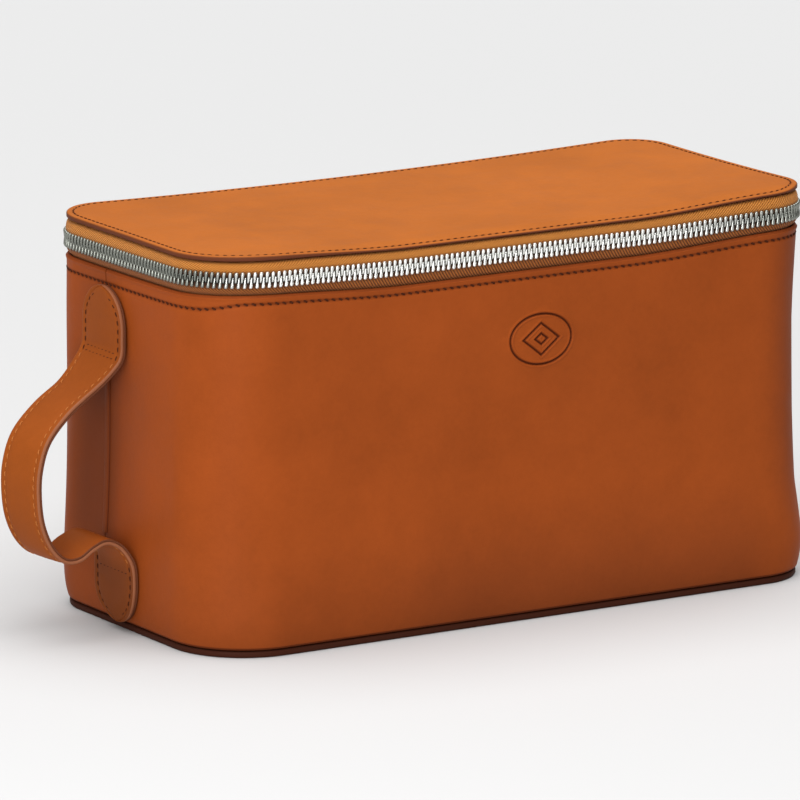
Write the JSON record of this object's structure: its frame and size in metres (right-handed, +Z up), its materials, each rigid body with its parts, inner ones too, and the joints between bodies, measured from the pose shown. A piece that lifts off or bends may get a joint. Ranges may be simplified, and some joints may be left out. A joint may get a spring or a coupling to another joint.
{
  "type": "leather wash bag",
  "caption": "Boxy leather wash bag with rounded corners, a hinged lid closed by a zip that runs round three sides, and a curved strap handle sewn to its left end.",
  "frame": {"origin": "centre of the base's underside, where the bag stands", "axes": "+X along the bag to its right end, away from the handle; +Y to the back, where the lid is hinged; +Z up"},
  "size_m": [0.3155, 0.129, 0.1512],
  "materials": {
    "body_leather": "smooth vegetable-tanned leather, cognac, half gloss",
    "lid_leather": "smooth vegetable-tanned leather, cognac, lit from above",
    "base_leather": "vegetable-tanned leather with a dark burnished edge",
    "strap_leather": "smooth vegetable-tanned strap leather, stitched along both edges",
    "zip_tape": "woven herringbone tape, golden tan",
    "zip_metal": "polished silver-coloured metal",
    "stiffener_board": "matt bonded fibre board",
    "lining_cloth": "plain woven cotton"
  },
  "bodies": {
    "bag": {"base_panel": "base_leather", "base_stiffener": "stiffener_board", "base_lining": "lining_cloth", "front_wall_panel": "body_leather", "back_wall_panel": "body_leather", "wall_stiffener": "stiffener_board", "wall_lining": "lining_cloth", "left_seam_strip": "body_leather", "right_seam_strip": "body_leather", "hinge_strip": "body_leather", "lower_zip_tape": "zip_tape", "lower_zip_teeth": "zip_metal", "bottom_stop": "zip_metal", "lower_top_stop": "zip_metal", "handle_top_tab": "strap_leather", "handle_bottom_tab": "strap_leather", "handle_top_root": "strap_leather", "handle_bottom_root": "strap_leather"},
    "lid": {"lid_panel": "lid_leather", "lid_stiffener": "stiffener_board", "lid_lining": "lining_cloth", "upper_zip_tape": "zip_tape", "upper_zip_teeth": "zip_metal", "upper_top_stop": "zip_metal"},
    "handle": {"handle_outer_strap": "strap_leather", "handle_inner_strap": "strap_leather"},
    "zip_slider": {"slider_body": "zip_metal"},
    "pull": {"zip_pull": "zip_metal"}
  },
  "joints": [
    {"name": "lid_hinge", "type": "hinge", "parent": "bag", "child": "lid", "pos_m": [0, 0.0625, 0.1413], "axis": [-1, 0, 0], "range_deg": [0, 110], "deforming": ["hinge_strip", "upper_zip_teeth"]},
    {"name": "handle_swing", "type": "hinge", "parent": "bag", "child": "handle", "pos_m": [-0.1355, 0.005, 0.0675], "axis": [0, 0.1288, 0.9917], "range_deg": [-20, 20], "stiffness_Nm_per_rad": 0.05, "deforming": ["handle_top_root", "handle_bottom_root"]},
    {"name": "slider_travel", "type": "slide", "parent": "bag", "child": "zip_slider", "axis": [0, -1, 0], "range_m": [0, 0.053], "deforming": ["lower_zip_teeth"]},
    {"name": "pull_swing", "type": "hinge", "parent": "zip_slider", "child": "pull", "pos_m": [0.1387, 0.0245, 0.1413], "axis": [0, -1, 0], "range_deg": [0, 150]}
  ]
}
